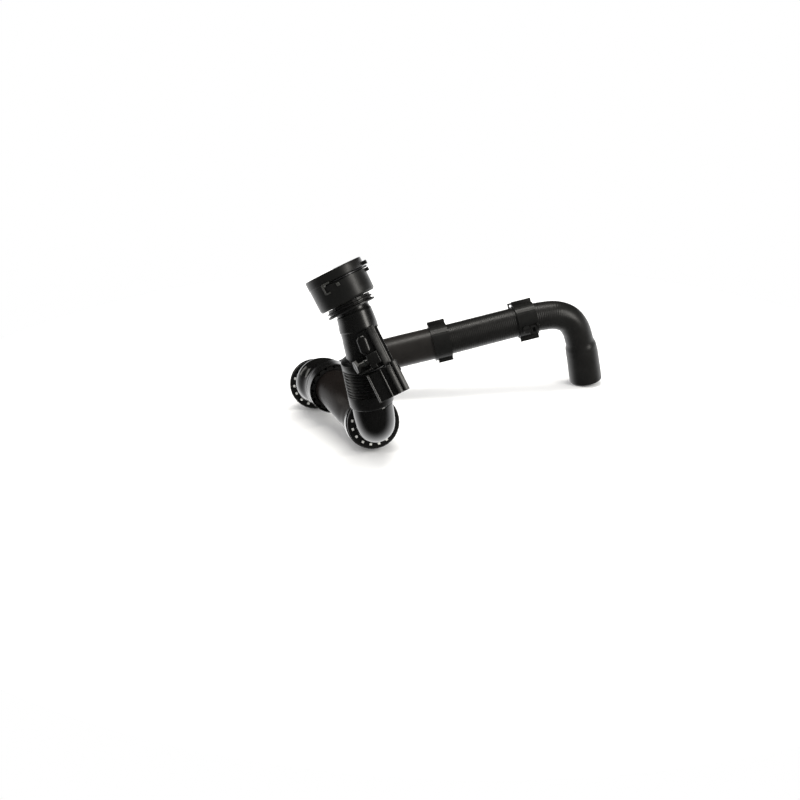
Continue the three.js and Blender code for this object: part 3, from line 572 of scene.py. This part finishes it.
def make_sleeve():
    """The left sleeve: a shoulder that widens from coupling B to the cup on the diagonal tube."""
    rings = loft([
        (RING_B + 0.6 * FACE_B, FACE_B, 17.9),
        (V(-65.2, 107.5, 30.6), V(-0.02, -0.99, 0.11).normalized(), 20.9),
        (V(-58, 97, 38.5), V(0.2, -0.97, 0.1).normalized(), 25.4), (CUP - 18 * FACE_C, FACE_C, 26.8),
        (CUP - 9 * FACE_C, FACE_C, 26.8), (CUP - 0.7 * FACE_C, FACE_C, 26.8)], 10)
    inside = [(0.0, 26.2), (0.0, 25.4), (-0.4, 25.0), (-4.3, 25.0), (-4.4, 22.7), (-13.9, 22.7), (-14, 14)]
    rings += [circle(CUP + z * FACE_C, FACE_C, r) for z, r in inside]
    rings += [circle(RING_B - 12 * FACE_B, FACE_B, 14), circle(RING_B - 12 * FACE_B, FACE_B, 16.4),
              circle(RING_B - 6.4 * FACE_B, FACE_B, 16.4), circle(RING_B - 5.6 * FACE_B, FACE_B, 17.9)]
    made = skin("sleeve_body", SMOOTH, rings, list(range(len(rings))), 40)
    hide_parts("left_sleeve")
    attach(made, "run")


class Seat:
    """A local frame in the design frame: z along an axis, x as near as it can be to a second direction."""

    def __init__(self, at, axis, across=ACROSS):
        self.at, self.z = at, axis.normalized()
        self.x = (across - self.z * across.dot(self.z)).normalized()
        self.y = self.z.cross(self.x)

    def out(self, p):
        return self.at + self.x * p[0] + self.y * p[1] + self.z * p[2]


NECK_SEAT, RAIL_SEAT = Seat(FLANGE, CONNECTOR_AXIS), Seat(RAIL_AT, RAIL_AXIS)
SCREW_AXIS = RAIL_SEAT.out((-0.966, -0.259, 0)) - RAIL_SEAT.at
SCREW_SEAT = Seat(RAIL_SEAT.out((-8.2, -18.6, -53.6)), SCREW_AXIS, RAIL_SEAT.z)


def rounded_box(seat, low, high, edge, turn=0.0):
    """Vertices and faces of a box with rounded edges, turned about the seat's z."""
    work = bmesh.new()
    bmesh.ops.create_cube(work, size=1)
    size = [b - a for a, b in zip(low, high)]
    middle = [(a + b) / 2 for a, b in zip(low, high)]
    for vertex in work.verts:
        vertex.co = Vector([m + c * d for m, c, d in zip(middle, vertex.co, size)])
    bmesh.ops.bevel(work, geom=work.edges[:], offset=edge, segments=3, profile=0.5, affect="EDGES")
    spin = Matrix.Rotation(turn, 3, "Z")
    work.verts.index_update()
    vertices = [seat.out(spin @ vertex.co) for vertex in work.verts]
    faces = [tuple(vertex.index for vertex in face.verts) for face in work.faces]
    work.free()
    return vertices, faces


def lathe(seat, profile, count, centre=(0, 0), squeeze=1.0):
    """Vertices and faces of a turned profile of (radius, z), a closed loop if it starts off the axis."""
    vertices = []
    for radius, z in profile:
        for k in range(count):
            turn = math.tau * k / count
            vertices.append(seat.out((centre[0] + radius * math.cos(turn),
                                      centre[1] + squeeze * radius * math.sin(turn), z)))
    return vertices, quads(len(profile), count, closed=profile[0][0] > 0)


def prism(seat, outline, low, high, bevel=0.3):
    """Vertices and faces of an outline in x and y, carried along z, with its end edges rounded."""
    mid_x, mid_y = [sum(p[k] for p in outline) / len(outline) for k in (0, 1)]
    levels = ((low, bevel), (low + bevel * 0.3, bevel * 0.3), (low + bevel, 0), (high - bevel, 0),
              (high - bevel * 0.3, bevel * 0.3), (high, bevel))
    vertices, count = [], len(outline)
    for z, shrink in levels:
        for x, y in outline:
            keep = 1 - shrink / max(math.hypot(x - mid_x, y - mid_y), 2 * bevel)
            vertices.append(seat.out((mid_x + (x - mid_x) * keep, mid_y + (y - mid_y) * keep, z)))
    last = (len(levels) - 1) * count
    ends = [tuple(range(count)), tuple(last + k for k in range(count))]
    return vertices, ends + quads(len(levels), count, closed=False)


def crest(left, right, top, base, slope=0.38, crown=0.6, start=0.45):
    """Outline of a broad rib: a slightly crowned slope that faces right, rounded over at its right edge."""
    run = right - left - 2.4
    line = [(left + 0.5 + run * t, top + slope * run * t - crown * t * (1 - t)) for t in np.linspace(0, 1, 9)]
    x, y = line[-1]
    reach = right - x
    turns = np.linspace(start, math.pi / 2, 7)[1:]
    arc = [(x + reach * (math.sin(q) - math.sin(start)) / (1 - math.sin(start)),
            y + reach * (math.cos(start) - math.cos(q))) for q in turns]
    return [(left, base), (left, top + 0.5), (left + 0.15, top + 0.15)] + line + arc + [(right, base)]


def together(name, material, shapes, sharp=40, body="neck"):
    """One piece from several shapes of vertices and faces, riding on a body."""
    vertices, faces = [], []
    for shape_vertices, shape_faces in shapes:
        start = len(vertices)
        vertices += [row(Vector(p)) for p in shape_vertices]
        faces += [tuple(start + k for k in face) for face in shape_faces]
    made = piece(name, material, vertices, faces, sharp)
    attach(made, body)
    return made


def dome(radius, low, high, edge):
    """Profile of a rod with rounded ends."""
    arc = [(radius - edge + edge * math.sin(q), edge * math.cos(q)) for q in (0, 0.4, 0.8, 1.2, math.pi / 2)]
    return ([(0, low)] + [(r, low + edge - z) for r, z in arc] + [(r, high - edge + z) for r, z in arc[::-1]]
            + [(0, high)])


def make_neck():
    """The bent neck, the rail beside it, the oval pad, and the boss and plate of the bleed screw."""
    length = neck_route.length
    flange = length - 11
    tube = sweep("neck_tube", EDGED, neck_route, [
        (0, 14), (2, 14.5), (15.4, 14.5), (16.0, 15.4), (16.6, 16), (flange - 32, 17.2),
        (flange - 22.6, 17.9), (flange - 22, 18.4), (flange - 21.4, 18.7), (flange - 5.4, 17.6),
        (flange - 4, 16.6), (length, 16.6)], [(0, 11.5), (length, 11.5)], SIDES, pitch=1.2)
    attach(tube, "neck")
    fittings = together("neck_rail", EDGED, [
        prism(RAIL_SEAT, crest(3.2, 11.8, -16.8, -9.4), -64.4, -25),
        lathe(RAIL_SEAT, dome(2.5, -86, -63.4, 0.4), 32, centre=(7.8, -12.8)),
        rounded_box(RAIL_SEAT, (7.8, -13.8, -63.6), (13.8, -11.2, -26), 0.4),
        rounded_box(RAIL_SEAT, (-7, -14.7, -63), (7.8, -10.5, -26), 0.5)])
    tilt = Seat(RAIL_SEAT.out((-5.1, -13.4, -37.7)), RAIL_SEAT.out((0.1, 0, 0.995)) - RAIL_SEAT.at,
                RAIL_SEAT.x)
    radius, half = 5.2, 4.5
    capsule = [(radius * math.sin(q), end - radius * math.cos(q))
               for end, turns in ((-half, np.linspace(0, math.pi / 2, 9)),
                                  (half, np.linspace(math.pi / 2, math.pi, 9))) for q in turns]
    pad = together("neck_pad", EDGED, [lathe(tilt, capsule, 48, squeeze=0.6)])
    boss = together("screw_boss", EDGED, [
        rounded_box(RAIL_SEAT, (-8, -22.2, -59.4), (3, -12.8, -47.8), 0.8),
        rounded_box(RAIL_SEAT, (-20.5, -24.5, -62), (-7, -15, -60.7), 0.45),
        rounded_box(RAIL_SEAT, (-8, -22.2, -62), (-2, -12.8, -58), 0.5),
        lathe(SCREW_SEAT, [(2.2, -1), (3.3, -1), (3.3, 3.2), (2.9, 3.6), (2.2, 3.6)], 40)])
    for made in (tube, fittings, pad, boss):
        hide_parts("neck_pipe")


def make_socket():
    """The socket's wall is turned. The wire clip's groove is sunk in most of its round, between two hooks."""
    low, high, depth, end_cosine = 28.25, 30.95, 1.8, -0.42
    outside, count = 28, 160
    wall = [(17.1, 7), (26.6, 7), (27.2, 7.3), (28.0, 8.6), (28.2, 9.4), (28.35, 18), (28.45, low - 0.5),
            (28.5, low - 0.15), (28.5, low), (28.55, low + 0.15), (28.55, 29.6), (28.55, high - 0.15),
            (28.6, high), (28.8, high + 0.2), (28.95, high + 0.5), (28.95, 39.2), (28.8, 39.7),
            (28.4, 39.95), (25.4, 39.95), (24.7, 39.4), (24.4, 38.6), (24.4, 19.4), (26, 19.4),
            (26, 15.6), (24.4, 15.6), (24.4, 11.5), (17.1, 11.5)]
    vertices = []
    for radius, z in wall:
        for k in range(count):
            turn = math.tau * k / count
            in_groove = low < z < high and radius > outside and math.cos(turn) > end_cosine
            r = radius - (depth if in_groove else 0)
            vertices.append(NECK_SEAT.out((r * math.cos(turn), r * math.sin(turn), z)))
    shapes = [(vertices, quads(len(wall), count))]

    def on_wall(turn, radius, thick, width, bottom, top, edge):
        shapes.append(rounded_box(NECK_SEAT, (radius, -width / 2, bottom), (radius + thick, width / 2, top),
                                  edge, turn))

    on_wall(0, 27.5, 4.6, 9, high + 0.2, 34, 0.5)
    on_wall(0, 27.5, 4, 7, 24.6, low - 0.2, 0.5)
    for turn in (-0.19, 0.19):
        on_wall(turn, 27.5, 5.6, 1.8, high + 0.2, 34.8, 0.4)
    made = together("socket_body", SATIN, shapes, 30)
    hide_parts("connector_socket")
    shapes.clear()
    for side in (-1, 1):
        for step in range(5):
            on_wall(side * (1.83 + 0.055 * step), 28, 2.0, 1.9, high - 1.0, high + 0.6, 0.5)
        on_wall(side * 2.08, 28, 2.0, 1.6, 21.4, high, 0.5)
        for step in range(3):
            on_wall(side * (1.94 + 0.05 * step), 28, 2.0, 1.8, 20.8, 22.4, 0.5)
        on_wall(side * 1.57, 28, 1.9, 3.4, 23.8, 27.1, 0.6)
    # The hooks take the lighter plastic, a painted highlight on them.
    made = together("socket_hooks", HOOK_PAINTED_HIGHLIGHT, shapes, 30)
    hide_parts("connector_socket")


def make_bracket():
    """A hollow body open below, two broad rounded crests, two thin ribs with slanted tops, and a side tab."""
    low, high = -93.3, -65
    plates = [((-14.6, -18, low), (15.3, -16.2, high)), ((-14.6, -10.8, low), (15.3, -9, high)),
              ((-14.6, -17.4, high - 4), (15.3, -9.6, high)), ((-14.6, -17.4, low), (-12.4, -9.6, high)),
              ((-4, -17.4, low), (-1, -9.6, high)), ((3, -17.4, low), (4.8, -9.6, high)),
              ((10.8, -17.4, low), (11.6, -9.6, high)), ((13.8, -17.4, low), (15.3, -9.6, high)),
              ((14, -17, -74), (16.4, -12, -68.5)), ((-15.2, -18.9, low), (-14.1, -9, high)),
              ((-2.5, -18.9, low), (-1.5, -16.5, high))]
    shapes = [rounded_box(RAIL_SEAT, a, b, 0.3) for a, b in plates]
    slant = 0.41
    for x in (-14.6, -1.9):
        lean = Seat(RAIL_SEAT.out((x, -19, 0)), RAIL_SEAT.z,
                    RAIL_SEAT.x * math.cos(slant) + RAIL_SEAT.y * math.sin(slant))
        shapes.append(rounded_box(lean, (-0.75, -0.55, low), (0.75, 0.9, high), 0.2))
    shapes.append(prism(RAIL_SEAT, crest(3.9, 10.4, -21.4, -16.6), low, high + 0.2))
    shapes.append(prism(RAIL_SEAT, crest(10.1, 15.5, -20.6, -16.6), low, high + 2.2, 0.8))
    made = together("bracket_body", EDGED, shapes)
    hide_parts("ribbed_bracket")


def make_clip_tabs():
    """A plain raised tab in front of each clip's hinge, with a lip on clip 2. Each rides on a front shell."""
    for name, at, along, bore, half, lipped, body in (
            ("clip_1_tab", V(71.2, 169.9, 59.9), V(0.968, 0.14, 0.207), 18.5, 9.5, False, "clip_1_front"),
            ("clip_2_tab", V(166.7, 184, 81), V(0.966, 0.15, 0.205), 17.3, 11, True, "clip_2_front")):
        seat = Seat(at, along, V(0, 0.342, 0.94))
        shapes = [rounded_box(seat, (bore + 0.2, 2.25, -half), (bore + 5.4, 3.7, half), 0.5)]
        if lipped:
            shapes.append(rounded_box(seat, (bore + 4.4, 0.9, -half), (bore + 5.6, 3.5, half), 0.4))
        together(name, SATIN, shapes, body=body)


make_tubes()
make_bellows()
make_sleeve()
make_neck()
make_socket()
make_bracket()
make_clip_tabs()
